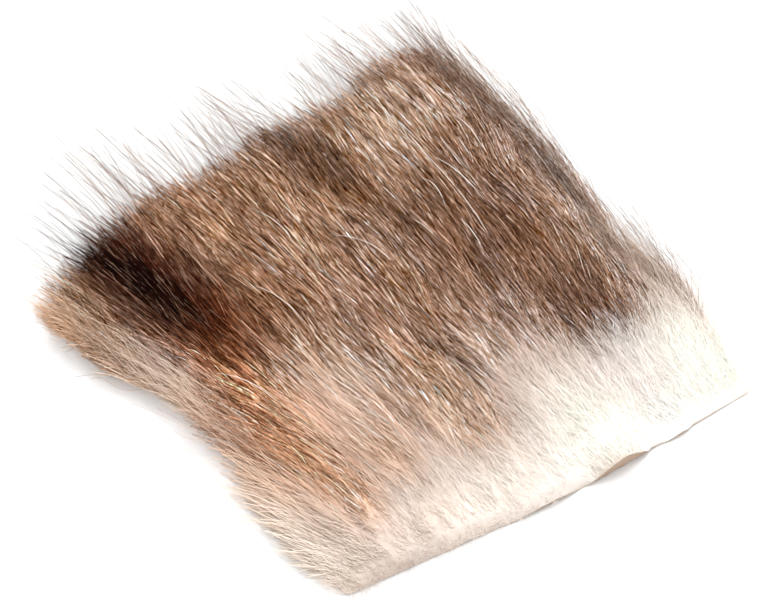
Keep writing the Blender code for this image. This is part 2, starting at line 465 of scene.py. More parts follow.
# %% The table of patches
BODY = "#8f6d56"
PATCH_COLUMNS = (
    "what", "x_mm", "y_mm", "half_along_mm", "half_across_mm", "turn_degrees", "colour", "strength", "crispness",
)
PATCHES = (
    ("front cream", 30, -1, 60, 28, 0, "#faf0e7", 0.95, 1.4),
    ("front white", 80, 2, 34, 19, 6, "#fffdf9", 1.0, 1.8),
    ("front yellow", 97, 10, 12, 12, 0, "#fdf9e9", 0.8, 1.3),
    ("pinkish grey", 65, 17, 14, 12, 100, "#f4e3d8", 0.88, 1.4),
    ("front right light", 63, 9, 12, 10, 95, "#fffaf0", 0.85, 1.4),
    ("front mid", 40, 23, 12, 8, 110, "#b99a84", 0.7, 1.3),
    ("front left", 3, 7, 18, 14, 0, "#dccec5", 0.7, 1.4),
    ("cut edge shade", 25, -2.5, 38, 3.0, 0, "#d4c4b9", 0.65, 1.6),
    ("lower tan", 36, 35, 14, 10, 110, "#ab8970", 0.6, 1.3),
    ("pale middle", 34, 59, 19, 7, 112, "#b59380", 0.6, 1.3),
    ("middle tan", 38, 80, 18, 9, 108, "#a07c62", 0.6, 1.3),
    ("band start", 49, 123, 8, 8, 100, "#b9a89e", 0.8, 1.5),
    ("band far", 48, 104, 16, 5.5, 98, "#5c4130", 0.95, 1.5),
    ("band middle", 56, 78, 18, 6.5, 104, "#6d4f3a", 0.9, 1.5),
    ("band beside", 68, 72, 18, 7, 98, "#7d5e49", 0.8, 1.3),
    ("band right", 83, 72, 18, 7, 96, "#765846", 0.85, 1.3),
    ("band near", 71, 56, 22, 12, 106, "#755644", 0.85, 1.3),
    ("below band", 62, 41, 12, 6, 100, "#b89c8b", 0.65, 1.3),
    ("middle grey", 50, 68, 14, 5, 108, "#a08270", 0.6, 1.3),
    ("band end", 80, 34, 12, 9, 100, "#684a38", 0.9, 1.4),
    ("far tan", 72, 110, 17, 11, 95, "#bb9e88", 0.75, 1.3),
    ("far grey", 88, 114, 14, 9, 92, "#b19483", 0.7, 1.3),
    ("right grey", 92, 75, 28, 9, 92, "#8b7161", 0.75, 1.3),
    ("right edge", 102, 90, 40, 6, 92, "#b29b8c", 0.7, 1.3),
    ("right rim near", 101, 44, 13, 6, 92, "#cdb9ab", 0.75, 1.3),
    ("right pale", 101, 25, 10, 8, 92, "#f0e4da", 0.85, 1.3),
    ("front right", 83, 17, 10, 12, 96, "#f8f0ea", 0.85, 1.6),
    ("left tan", 15, 102, 12, 10, 118, "#9b755a", 0.7, 1.3),
    ("stripe fade", 20, 66, 13, 8, 114, "#7a553a", 0.6, 1.3),
    ("low pale", 19, 37, 14, 9, 112, "#dcc2af", 0.75, 1.3),
    # Painted light: the left rim's cream is made lighter here, for the light that shines through thin hair at the
    # rim.
    ("left rim", -16, 33, 28, 8, 103, "#f9ebe0", 0.95, 1.5),
    ("beside rust", 9, 41, 15, 5, 114, "#ccb4a3", 0.65, 1.4),
    ("rust far", -3.5, 54, 21, 9, 117, "#8c4312", 0.92, 1.4),
    ("rust near", 0, 27, 15, 7.5, 116, "#dc9c6c", 0.8, 1.3),
    # Painted light: lighter cream, for the light that shines through thin hair at the low left rim.
    ("left rim low", -10, 32, 14, 6.5, 112, "#f7dcc4", 0.85, 1.5),
    ("near tan", 22, 32, 14, 5, 110, "#ceb3a0", 0.55, 1.3),
    ("flecks", 7, 21, 10, 5, 114, "#b3825c", 0.75, 1.3),
    # Painted light in the next three rows: the left cream, the pale streak and the beige lobe at the left rim are
    # made lighter, for the light that shines through thin hair there.
    ("left cream", -9, 12, 20, 12, 118, "#f6e8da", 0.9, 1.4),
    ("pale streak", -16, 68, 22, 7, 120, "#ffeddc", 0.95, 1.6),
    ("lobe", -30, 89, 16, 10, 108, "#f8d7b8", 0.95, 1.6),
    # Painted shade: the lobe's low rim lies in shade, so it is made darker than the lobe.
    ("lobe low", -23, 80, 13, 6, 108, "#a5826a", 0.7, 1.4),
    ("lobe far", -22, 102, 8, 5, 100, "#e8c2a2", 0.7, 1.4),
    ("stripe tail", 5, 69, 13, 7.5, 118, "#5e2f10", 0.9, 1.4),
    ("light beside rust", 6, 40, 10, 4, 112, "#dcb397", 0.85, 1.4),
    ("light tan low", 14, 30, 11, 4.5, 115, "#dcc0ad", 0.8, 1.4),
    ("tan spot", 26, 31, 7, 4, 110, "#bd977e", 0.5, 1.3),
    ("low brown", 20, 20, 9, 4, 112, "#b18a6e", 0.65, 1.3),
    ("front left light", 20, 7, 8, 8, 90, "#f8eade", 0.8, 1.4),
    ("front light", 40, 8, 8, 8, 95, "#fdf3e9", 0.75, 1.4),
    ("front tan", 39, 21, 7, 6, 105, "#bf9f87", 0.7, 1.3),
    ("corner shade", 6, -2, 13, 5, 0, "#bfafa4", 0.75, 1.4),
    ("right rim light", 95, 57, 10, 4, 92, "#c9b1a1", 0.7, 1.3),
    ("far middle light", 62, 97, 10, 5, 98, "#c9ab93", 0.5, 1.3),
    ("middle brown", 40, 51, 9, 4, 106, "#7c5c48", 0.6, 1.3),
    ("band lower", 61, 55, 10, 5, 100, "#644634", 0.6, 1.3),
    ("rust core", -1, 50, 13, 6, 116, "#b87a4c", 0.65, 1.4),
    ("right white", 97, 16, 10, 8, 92, "#fffcf2", 0.9, 1.5),
    ("lobe brown", -19, 97, 14, 3.5, 109, "#8a5a34", 0.35, 1.4),
    ("stripe top", -4, 109, 8, 6, 95, "#1c0a04", 0.9, 1.6),
    ("stripe halo", -3, 92, 25, 9.5, 109, "#431300", 0.95, 1.8),
    ("stripe", -5.5, 92, 22, 6.2, 109, "#100100", 1.0, 2.0),
)


# %% The coat's colour at a place
PATCH_FADE = 0.7
MOTTLE = 0.30
LOCK_SHADE = 0.22
WARMTH = 0.08
WARMTH_TINT = np.array([0.5, 0.0, -1.0])
COLOUR_LIMIT = 0.95


def coat_colour(x, y):
    """The coat's colour, with the painted shade and painted light of some patches, in linear light at places in
    metres from the left end of the cut edge.
    """
    colour = np.ones(np.shape(x) + (3,)) * linear(BODY)
    for patch in rows(PATCH_COLUMNS, PATCHES):
        turn = math.radians(patch["turn_degrees"])
        dx = x / MM - patch["x_mm"]
        dy = y / MM - patch["y_mm"]
        along = (dx * math.cos(turn) + dy * math.sin(turn)) / patch["half_along_mm"]
        across = (dy * math.cos(turn) - dx * math.sin(turn)) / patch["half_across_mm"]
        share = patch["strength"] * np.exp(-PATCH_FADE * (along**2 + across**2) ** patch["crispness"])
        colour = between(colour, linear(patch["colour"]), share[..., None])
    brown = (1 - paleness(colour))[..., None]
    mottle = streaks("mottle", x, y)[..., None] + LOCK_SHADE / MOTTLE * streaks("locks", x, y)[..., None]
    warmth = streaks("warmth", x, y)[..., None]
    return colour * np.exp(brown * (MOTTLE * mottle + WARMTH * warmth * WARMTH_TINT))


# %% [markdown]
# ## The shape of the coat
#
# Fur has no surface of its own: it is where the hairs end. It could be combed by hand. Here its
# shape is a set of values for every place on the skin: which way and how far a hair lies, how high
# the coat stands, how it falls over a rim and how much hair of each kind grows. The coat is short
# at the cut edge and full from about a third of the way in. At the rims, small pushes to the side
# give the outline its bays and tufts.

# %% How far a hair may reach
ROOM_SHARE_OF_SIDE = 0.02
ROOM_PAST_SOLIDS = 3 * MM
LEAST_PART = 0.02


def room_left(places, way):
    """How far a hair may reach from a place along its way and still look like the solids' size."""
    low, high = np.array(cad_box[0][:2]), np.array(cad_box[1][:2])
    past = ROOM_PAST_SOLIDS + ROOM_SHARE_OF_SIDE * (high - low)
    limit = np.where(way > 0, high + past, low - past) - places
    part = np.where(np.abs(way) > LEAST_PART, way, LEAST_PART * np.sign(way) + (way == 0))
    return np.maximum((limit / part).min(axis=-1), 0)


# %% The way that the hair lies
SWIRL_DEGREES = 9.0
SWIRL_SIZE = 15 * MM
SMALL_SWIRL_DEGREES = 6.0
SMALL_SWIRL_SIZE = 5 * MM
PUSH_LEFT_MM_AT = (
    (0, 0.1, 0.2, 0.3, 0.5, 0.6, 0.7, 0.8, 1.0),
    (4.5, 5.5, 1.5, -1.5, -2.0, -0.5, 1.0, 4.0, 3.5),
)
PUSH_LEFT_WIDTH = 0.24
PUSH_RIGHT_MM_AT = (
    (0, 0.1, 0.18, 0.26, 0.36, 0.46, 0.56, 0.66, 0.76, 0.86, 1.0),
    (0.0, 3.5, 6.5, 3.0, -4.5, 5.5, 6.0, 5.0, 3.5, 1.0, -0.5),
)
PUSH_RIGHT_WIDTH = 0.16


def hair_way(s, t, x, y):
    """Unit vectors along the lie of the hair."""
    swirl = SWIRL_DEGREES * perlin(x, y, SWIRL_SIZE, layer=1.0)
    swirl = swirl + SMALL_SWIRL_DEGREES * perlin(x, y, SMALL_SWIRL_SIZE, layer=2.0)
    angle = np.radians(lie_degrees(s, t) + swirl)
    return np.stack([np.cos(angle), np.sin(angle)], -1)


def hair_push(s, t):
    """How far the hair at the left and right rims is pushed to the right."""
    push = np.interp(t, *PUSH_RIGHT_MM_AT) * smooth(1 - (1 - s) / PUSH_RIGHT_WIDTH)
    return (push - np.interp(t, *PUSH_LEFT_MM_AT) * smooth(1 - s / PUSH_LEFT_WIDTH)) * MM


# %% The length and depth of the coat
FULL_FROM_LEFT = 0.26
FULL_FROM_RIGHT = 0.42
FULL_REACH = 26 * MM
REACH_AT_CUT_LEFT = 11 * MM
REACH_AT_CUT_RIGHT = 7 * MM
LEFT_RIM_SHARE = 0.62
LEFT_RIM_WIDTH = 0.22
CORNER_SHARE = 0.7
CORNER_SIZE = 0.28
BACK_SHARE_AT = (
    (0, 0.06, 0.13, 0.18, 0.25, 0.35, 0.43, 0.5, 0.6, 0.7, 0.8, 0.9, 1.0),
    (0.7, 0.85, 1.08, 1.12, 0.9, 0.98, 0.8, 0.8, 1.0, 0.78, 0.7, 1.0, 0.76),
)
BACK_FROM = 0.6
BACK_FADE = 0.3


def hair_reach(s, t, full):
    """How far a hair reaches along its way, as seen from above."""
    corner = smooth(1 - np.hypot(s, 1 - t) / CORNER_SIZE)
    reach = between(between(REACH_AT_CUT_LEFT, REACH_AT_CUT_RIGHT, s), FULL_REACH, full)
    reach = reach * between(LEFT_RIM_SHARE, 1.0, smooth(s / LEFT_RIM_WIDTH)) * between(1.0, CORNER_SHARE, corner)
    return reach * between(1.0, np.interp(s, *BACK_SHARE_AT), smooth((t - BACK_FROM) / BACK_FADE))


FULL_DEPTH = 10.5 * MM
DEPTH_AT_CUT_LEFT = 3.0 * MM
DEPTH_AT_CUT_RIGHT = 1.1 * MM
RIM = 0.16
RIM_DEPTH_SHARE = 0.62
LUMPINESS = 0.16


def coat_depth(s, full, from_rim, x, y):
    depth = between(between(DEPTH_AT_CUT_LEFT, DEPTH_AT_CUT_RIGHT, s), FULL_DEPTH, full)
    rounded = between(RIM_DEPTH_SHARE, 1.0, np.sin(0.5 * math.pi * from_rim))
    return depth * rounded * (1 + LUMPINESS * streaks("lumps", x, y))


# %% Where each kind of hair grows
COAT_AT_CUT = 0.10
COAT_FULL_AT = (0.18, 0.30)
DOWN_START = 1.15
DOWN_ENDS_AT = (0.26, 0.42)
DOWN_ELSEWHERE = 0.02
FILL_START = 1.6
FILL_SLOPE = 1.8
FILL_INLAND = 0.08
FILL_FULL_AT = 0.22
FLUFF_START = 1.2
FLUFF_WIDTH = 0.05
FLUFF_LEFT_OF = 0.55
FLUFF_FADE = 0.35
STRAY_START = 1.2
STRAY_SLOPE = 3.0
STRAY_FULL_AT = 0.3
TUFT_T = 0.16
TUFT_SIZE = 0.14
TUFT_MORE = 4
RIGHT_RIM_FROM = 0.8
RIGHT_RIM_MIDDLE = 0.6
RIGHT_RIM_HALF = 0.3
RIGHT_RIM_MORE = 0.8


def hair_growth(s, t, from_rim):
    """The share of each kind of hair, where 1 is as thick as its layer says."""
    tuft = smooth(1 - np.hypot(1 - s, t - TUFT_T) / TUFT_SIZE)
    right = smooth((s - RIGHT_RIM_FROM) / (1 - RIGHT_RIM_FROM))
    right = right * smooth(1 - np.abs(t - RIGHT_RIM_MIDDLE) / RIGHT_RIM_HALF)
    strays = smooth(STRAY_START - STRAY_SLOPE * from_rim) * smooth(t / STRAY_FULL_AT)
    filled = between(FILL_INLAND, 1.0, smooth(FILL_START - FILL_SLOPE * from_rim))
    return {
        "coat_thick": between(COAT_AT_CUT, 1.0, smooth(t / between(*COAT_FULL_AT, s))),
        "down_thick": smooth(DOWN_START - t / between(*DOWN_ENDS_AT, s)) + DOWN_ELSEWHERE,
        "rim_thick": strays * (1 + TUFT_MORE * tuft) * (1 + RIGHT_RIM_MORE * right),
        "fill_thick": filled * smooth(t / FILL_FULL_AT),
        "edge_thick": smooth(FLUFF_START - t / FLUFF_WIDTH) * smooth((FLUFF_LEFT_OF - s) / FLUFF_FADE),
    }


# %% All that the coat does at a place
FALL_SHARE = 0.55
FALL_POWER = 1.5


def coat_shape(s, t):
    """What the coat does above shares s and t of the skin, as a dictionary of arrays."""
    places = plan(s, t)
    x, y = places[..., 0], places[..., 1]
    way = hair_way(s, t, x, y)
    full = smooth(t / between(FULL_FROM_LEFT, FULL_FROM_RIGHT, s))
    from_rim = np.clip(np.minimum(np.minimum(s, 1 - s), 1 - t) / RIM, 0, 1)
    depth = coat_depth(s, full, from_rim, x, y)
    return {
        "way": way,
        "push": hair_push(s, t),
        "reach": hair_reach(s, t, full),
        "depth": depth,
        "room": room_left(places + CORNER, way),
        "fall": FALL_SHARE * depth * (1 - from_rim) ** FALL_POWER,
        "from_rim": from_rim,
        "full": full,
        **hair_growth(s, t, from_rim),
    }


# %% [markdown]
# ## A bed for the roots
#
# Hairs need something to grow from. The leather's top could serve, but its rows crowd at the cut
# edge. So the skin's top is made once more as an even grid, which is removed in the end. Its points
# keep the coat's values as attributes, and the node tree reads them at each root.

# %% The bed that the hair grows from
BED_COLUMNS = 96
BED_ROWS = 108
BED_ROWS_TO_EDGE = 1.3
BED_INSET = 0.004
ROOT_DEPTH = 0.05 * MM
BED_VALUES = (
    "push", "reach", "depth", "room", "fall",
    "coat_thick", "down_thick", "rim_thick", "fill_thick", "edge_thick",
)


def keep_shape(mesh, shape):
    """Stores what a hair that is rooted on a mesh needs to know."""
    for name in BED_VALUES:
        keep(mesh, name, shape[name])
    keep(mesh, "way", np.dstack([shape["way"], np.zeros(shape["reach"].shape)]), "FLOAT_VECTOR")


def make_bed():
    """The skin's top as a fine grid, with what a hair that is rooted there needs to know."""
    s, t, _, quads = share_grid(BED_COLUMNS, BED_ROWS, BED_ROWS_TO_EDGE, BED_INSET)
    surface = hide_surface(s, t)
    surface[..., 2] += LEATHER - ROOT_DEPTH
    made = mesh_object("bed", surface.reshape(-1, 3), quads.tolist(), ())
    keep_shape(made.data, coat_shape(s, t))
    return made


bed = make_bed()

# %% [markdown]
# ## The wool under the hair
#
# Under the long hair lies dense crimped wool, which hides the skin. A million more strands could
# stand for it. A soft domed surface was chosen: it closes the coat from below with few triangles,
# takes the shade of the hairs over it, and the outer hairs grow from it.

# %% The wool's material
# A Mix node's colours are its inputs 6 and 7 and its output 2
def wool_material():
    """Dense crimped underfur: fine streaks along the lie, strong in brown wool and faint in white."""
    material, tree, shader = new_material("underfur_wool_dense", Roughness=0.95, Specular_IOR_Level=0.05)
    lie = stored(tree, "lie", "Vector")
    fine = noise_texture(tree, lie, size_mm=0.35, Detail=3.0, Roughness=0.6)
    broad = noise_texture(tree, lie, size_mm=1.6, Detail=2.0)
    streak = two_tones(tree, blend(tree, fine, broad, 0.6), "#ada297", "#ffffff", low=0.36, high=0.64)
    mixed = add(
        tree, "ShaderNodeMix", {"data_type": "RGBA", "blend_type": "MULTIPLY"},
        Factor=stored(tree, "streaky", "Fac"), i6=stored(tree, "coat", "Color"), i7=streak,
    ).outputs[2]
    tree.links.new(mixed, shader.inputs["Base Color"])
    bump = add(tree, "ShaderNodeBump", Height=fine, Distance=0.10 * MM, Strength=0.5)
    tree.links.new(bump.outputs[0], shader.inputs["Normal"])
    return material


# %% The wool's surface
WOOL_CELLS = 190
WOOL_ROWS_TO_EDGE = 1.25
WOOL_DRIFT = 0.42
WOOL_DRIFT_FULL_AT = 0.3
WOOL_PUSH = 0.8
WOOL_SHARE_AT_CUT = 0.90
WOOL_SHARE = 0.80
WOOL_DOME = 0.12
WOOL_FRONT = 0.025
TUFT_HEIGHT = 0.10
FUZZ_HEIGHT = 0.04


def wool_surface(s, t, shape):
    places = plan(s, t)
    edge = np.minimum(np.minimum(s, 1 - s), 1 - t) / WOOL_DOME
    dome = np.sqrt(np.clip(1 - (1 - np.clip(edge, 0, 1)) ** 2, 0, 1)) * np.sqrt(np.clip(t / WOOL_FRONT, 0, 1))
    tufts, fuzz = (streaks(what, places[..., 0], places[..., 1]) for what in ("tufts", "fuzz"))
    share = between(WOOL_SHARE_AT_CUT, WOOL_SHARE, shape["full"])
    height = shape["depth"] * share * dome * (1 + TUFT_HEIGHT * tufts + FUZZ_HEIGHT * fuzz)
    drift = shape["reach"] * WOOL_DRIFT * smooth(t / WOOL_DRIFT_FULL_AT)
    surface = hide_surface(s, t)
    surface[..., 2] += LEATHER - ROOT_DEPTH + np.maximum(height, 0)
    surface[..., :2] += shape["way"] * drift[..., None]
    surface[..., 0] += shape["push"] * WOOL_PUSH
    return surface


# %% The wool, and what grows from it
WOOL_TINT = 1.75
WOOL_TINT_PALE = 0.96
WOOL_STREAKY_PALE = 0.03
WOOL_STRETCH = 9
TOP_PUSH = 0.2
TOP_REACH = 13 * MM
TOP_REACH_AT_CUT = 4.5 * MM
TOP_RISE = 2.0 * MM
TOP_RISE_AT_CUT = 0.4 * MM
TOP_FALL = 4.5 * MM
TOP_FALL_POWER = 1.3


def make_wool():
    s, t, _, quads = share_grid(WOOL_CELLS, WOOL_CELLS, WOOL_ROWS_TO_EDGE)
    shape = coat_shape(s, t)
    surface = wool_surface(s, t, shape)
    made = mesh_object("fur_wool", surface.reshape(-1, 3), quads.tolist(), (wool_material(),))
    x, y = surface[..., 0] - CORNER[0], surface[..., 1] - CORNER[1]
    colour = coat_colour(x, y)
    pale = paleness(colour)
    colour = np.minimum(colour * between(WOOL_TINT, WOOL_TINT_PALE, pale)[..., None], COLOUR_LIMIT)
    keep(made.data, "coat", opaque(colour), "FLOAT_COLOR")
    keep(made.data, "streaky", between(1.0, WOOL_STREAKY_PALE, pale))
    across, along = flow(x, y)
    keep(made.data, "lie", np.dstack([across, along / WOOL_STRETCH, np.zeros_like(x)]), "FLOAT_VECTOR")
    shape["room"] = room_left(surface[..., :2], shape["way"])
    shape["push"] = shape["push"] * TOP_PUSH
    shape["reach"] = between(TOP_REACH_AT_CUT, TOP_REACH, shape["full"])
    shape["depth"] = between(TOP_RISE_AT_CUT, TOP_RISE, shape["full"])
    shape["fall"] = TOP_FALL * (1 - shape["from_rim"]) ** TOP_FALL_POWER * shape["full"]
    keep_shape(made.data, shape)
    return made


wool = make_wool()
print("fur_wool", 2 * len(wool.data.polygons), "triangles")

# %% [markdown]
# ## One tree for every kind of hair
#
# A hair leaves its root steeply, bends over and runs along the lie of the coat. A particle system
# could grow it, but only plain meshes are exported. So a Geometry Nodes tree scatters roots over a
# bed, sets a curve on each, bends it by the bed's values and by random numbers of its own, gathers
# it towards its lock, and turns it into a flat ribbon that tapers to the tip. Sizes and seed are
# inputs, so that each layer of the coat can use the same tree.

# %% The inputs of the tree that grows a strand at each point
STRAND_INPUTS = {
    "Geometry": "Geometry", "Hairs per m2": "Float", "Thick where": "String", "Seed": "Int", "Points a hair": "Int",
    "Reach": "Float", "Depth": "Float", "Uneven": "Float", "Uneven depth": "Float", "Width": "Float",
    "Lock size": "Float", "Lock pull": "Float", "Lock swing": "Float", "Frizz": "Float", "Bend": "Float",
    "Floor": "Float", "Cells a side": "Int", "Material": "Material",
}

# %% Stored and random values in the tree
# A Random Value node's lowest value, highest value and result are at other places for each kind
RANDOM_PLACES = {"FLOAT": (2, 3, 1), "FLOAT_VECTOR": (0, 1, 0)}
LUCK_COLUMNS = ("name", "kind", "lowest", "highest", "past_seed", "about_1_by")
LUCK = (
    ("shade", "FLOAT", 0.0, 1.0, 11, None),
    ("grown", "FLOAT", -1.0, 1.0, 12, "Uneven"),
    ("raised", "FLOAT", -1.0, 1.0, 16, "Uneven depth"),
    ("stray", "FLOAT_VECTOR", (-1, -1, -0.1), (1, 1, 0.35), 13, None),
    ("sway", "FLOAT_VECTOR", (-1, -1, -0.3), (1, 1, 0.3), 15, None),
    ("roll", "FLOAT", -0.9, 0.9, 14, None),
)


def attribute(tree, name, kind="FLOAT"):
    return put(tree, "GeometryNodeInputNamedAttribute", {"data_type": kind}, Name=name)


def store(tree, geometry, name, value, kind="FLOAT", domain="POINT"):
    settings = {"data_type": kind, "domain": domain}
    return put(tree, "GeometryNodeStoreNamedAttribute", settings, Geometry=geometry, Name=name, Value=value)


def draw(tree, seed, luck):
    """A random number or vector for each point."""
    low, high, result = RANDOM_PLACES[luck["kind"]]
    limits = {f"i{low}": luck["lowest"], f"i{high}": luck["highest"]}
    seed = maths(tree, "ADD", seed, luck["past_seed"])
    return add(tree, "FunctionNodeRandomValue", {"data_type": luck["kind"]}, Seed=seed, **limits).outputs[result]


# %% Roots, and the locks that they belong to
LOCK_SWINGS = (2, 2, 0.9)


def scatter_roots(tree, given):
    """Points on the bed, each with its place, its number and its luck."""
    points = put(
        tree, "GeometryNodeDistributePointsOnFaces", {"distribute_method": "RANDOM"},
        Mesh=given["Geometry"], Seed=given["Seed"],
        Density=product(tree, given["Hairs per m2"], attribute(tree, given["Thick where"])),
    )
    points = store(tree, points, "root", put(tree, "GeometryNodeInputPosition"), "FLOAT_VECTOR")
    points = store(tree, points, "strand", put(tree, "GeometryNodeInputIndex"), "INT")
    for luck in rows(LUCK_COLUMNS, LUCK):
        value = draw(tree, given["Seed"], luck)
        if luck["about_1_by"]:
            value = maths(tree, "MULTIPLY_ADD", value, given[luck["about_1_by"]], 1.0)
        points = store(tree, points, luck["name"], value, luck["kind"])
    return points


def gather_locks(tree, given, points):
    """Stores how far a hair leans to its lock, which is a cell of a Voronoi pattern over the skin."""
    root = vector_maths(tree, "MULTIPLY", put(tree, "GeometryNodeInputPosition"), (1, 1, 0))
    size = given["Lock size"]
    place = scaled(tree, root, maths(tree, "DIVIDE", 1.0, size))
    pattern = {"voronoi_dimensions": "2D", "feature": "F1"}
    cell = add(tree, "ShaderNodeTexVoronoi", pattern, Vector=place, Scale=1.0).outputs["Position"]
    pull = vector_maths(tree, "SUBTRACT", scaled(tree, cell, size), root)
    luck = add(tree, "ShaderNodeTexWhiteNoise", {"noise_dimensions": "3D"}, Vector=cell).outputs["Color"]
    swing = vector_maths(tree, "SUBTRACT", luck, (0.5, 0.5, 0.5))
    swing = scaled(tree, vector_maths(tree, "MULTIPLY", swing, LOCK_SWINGS), given["Lock swing"])
    gathered = vector_maths(tree, "ADD", scaled(tree, pull, given["Lock pull"]), swing)
    return store(tree, points, "gathered", gathered, "FLOAT_VECTOR")


def straight_hairs(tree, given, points):
    line = put(tree, "GeometryNodeCurvePrimitiveLine")
    line = put(tree, "GeometryNodeResampleCurve", Curve=line, Count=given["Points a hair"])
    hairs = put(tree, "GeometryNodeInstanceOnPoints", Points=points, Instance=line)
    return put(tree, "GeometryNodeRealizeInstances", Geometry=hairs)


# %% The bend of a hair
STANDS_AT_ROOT = 0.4
LEAST_ROOM = 0.85
BOW_TURNS = 0.75
PUSH_POWER = 3.0


def bend(tree, given, hairs, u):
    """Moves each point of a hair to its place. u is its share of the way from root to tip."""
    # Outwards: slow at the root, where the hair still stands up, and then evenly
    u2 = product(tree, u, u)
    room = maths(tree, "MULTIPLY_ADD", attribute(tree, "shade"), 1 - LEAST_ROOM, LEAST_ROOM)
    room = product(tree, attribute(tree, "room"), room)
    length = product(tree, attribute(tree, "reach"), given["Reach"], attribute(tree, "grown"))
    length = product(tree, blend(tree, u2, u, STANDS_AT_ROOT), maths(tree, "MINIMUM", length, room))
    level = scaled(tree, attribute(tree, "way", "FLOAT_VECTOR"), length)

    # Upwards: steep at the root, level near the tip, and down again where the hair hangs over a rim
    rest = maths(tree, "SUBTRACT", 1.0, u)
    risen = maths(tree, "SUBTRACT", 1.0, product(tree, rest, rest))
    height = product(tree, attribute(tree, "depth"), given["Depth"], attribute(tree, "raised"))
    fallen = product(tree, u2, u, attribute(tree, "fall"))
    up = put(tree, "ShaderNodeCombineXYZ", Z=maths(tree, "SUBTRACT", product(tree, risen, height), fallen))

    # To the sides: frizz, a double bow, the lean of the lock, and the push of the rim
    frizz = scaled(tree, attribute(tree, "stray", "FLOAT_VECTOR"), product(tree, u, given["Frizz"]))
    bow = product(tree, maths(tree, "SINE", product(tree, u, BOW_TURNS * 2 * math.pi)), given["Bend"])
    bowed = scaled(tree, attribute(tree, "sway", "FLOAT_VECTOR"), bow)
    locked = scaled(tree, attribute(tree, "gathered", "FLOAT_VECTOR"), u2)
    push = maths(tree, "SUBTRACT", 1.0, maths(tree, "POWER", rest, PUSH_POWER))
    pushed = put(tree, "ShaderNodeCombineXYZ", X=product(tree, push, attribute(tree, "push")))

    place = attribute(tree, "root", "FLOAT_VECTOR")
    for part in (level, up, frizz, bowed, locked, pushed):
        place = vector_maths(tree, "ADD", place, part)
    x, y, z = add(tree, "ShaderNodeSeparateXYZ", Vector=place).outputs
    place = put(tree, "ShaderNodeCombineXYZ", X=x, Y=y, Z=maths(tree, "MAXIMUM", z, given["Floor"]))
    return put(tree, "GeometryNodeSetPosition", Geometry=hairs, Position=place)


# %% Ribbons, and the whole tree
TAPER = 0.85
TAPER_POWER = 1.6
CELL_MARGIN = 0.15


def flat_ribbons(tree, given, hairs, u):
    """Sweeps a short level line along each hair, narrower towards its tip."""
    hairs = put(tree, "GeometryNodeSetCurveNormal", {"mode": "Z_UP"}, Curve=hairs)
    hairs = put(tree, "GeometryNodeSetCurveTilt", Curve=hairs, Tilt=attribute(tree, "roll"))
    taper = maths(tree, "SUBTRACT", 1.0, product(tree, maths(tree, "POWER", u, TAPER_POWER), TAPER))
    hairs = put(tree, "GeometryNodeSetCurveRadius", Curve=hairs, Radius=taper)
    half = product(tree, given["Width"], 0.5)
    start, end = (put(tree, "ShaderNodeCombineXYZ", X=product(tree, half, side)) for side in (-1.0, 1.0))
    profile = put(tree, "GeometryNodeCurvePrimitiveLine", Start=start, End=end)
    profile = store(tree, profile, "over", add(tree, "GeometryNodeSplineParameter").outputs["Factor"])
    return put(tree, "GeometryNodeCurveToMesh", Curve=hairs, Profile_Curve=profile)


def cells_of_their_own(tree, given, ribbons):
    """A cell for each hair in the UV map that a baked texture is painted in."""
    cells = given["Cells a side"]
    number = attribute(tree, "strand", "INT")
    column = maths(tree, "FLOORED_MODULO", number, cells)
    row = maths(tree, "FLOOR", maths(tree, "DIVIDE", number, cells))
    ends = []
    for first, share in ((column, "over"), (row, "along")):
        inside = maths(tree, "MULTIPLY_ADD", attribute(tree, share), 1 - 2 * CELL_MARGIN, CELL_MARGIN)
        ends.append(maths(tree, "DIVIDE", maths(tree, "ADD", first, inside), cells))
    uv = put(tree, "ShaderNodeCombineXYZ", X=ends[0], Y=ends[1])
    return store(tree, ribbons, "OFBake", uv, "FLOAT2", "CORNER")


def strand_tree():
    tree = bpy.data.node_groups.new("strands_from_a_bed", "GeometryNodeTree")
    for name, kind in STRAND_INPUTS.items():
        tree.interface.new_socket(name, in_out="INPUT", socket_type="NodeSocket" + kind)
    tree.interface.new_socket("Geometry", in_out="OUTPUT", socket_type="NodeSocketGeometry")
    given = add(tree, "NodeGroupInput").outputs
    points = gather_locks(tree, given, scatter_roots(tree, given))
    u = add(tree, "GeometryNodeSplineParameter").outputs["Factor"]
    hairs = store(tree, straight_hairs(tree, given, points), "along", u)
    ribbons = flat_ribbons(tree, given, bend(tree, given, hairs, u), u)
    ribbons = cells_of_their_own(tree, given, ribbons)
    ribbons = put(tree, "GeometryNodeRealizeInstances", Geometry=ribbons)
    ribbons = put(tree, "GeometryNodeSetMaterial", Geometry=ribbons, Material=given["Material"])
    add(tree, "NodeGroupOutput", Geometry=ribbons)
    return tree


tree = strand_tree()
sockets = {item.name: item.identifier for item in tree.interface.items_tree if item.in_out == "INPUT"}

# %% [markdown]
# ## The hair's material
#
# Each hair brings its own colour as an attribute. Real hair is also banded, and catches the light
# in lines that are thinner than any ribbon here. More ribbons could show them. A fine noise that is
# stretched along the lie of the hair was chosen, because it costs no triangles. Its light streaks
# are real bands and painted highlights at once. It is faint on cream hair.

# %% Hair material
# Painted highlight and banding: the noise's light streaks stand for real bands and for the lines in which hair
# catches the light, and the tint makes them a little bluer, like white light on brown hair.
BAND_AND_SHEEN_ACROSS_MM = 0.19
BAND_AND_SHEEN_STRETCH = 24.0
BAND_AND_SHEEN_CONTRAST = 4.4
BAND_AND_SHEEN_TINT = (0.75, 1.0, 1.3)


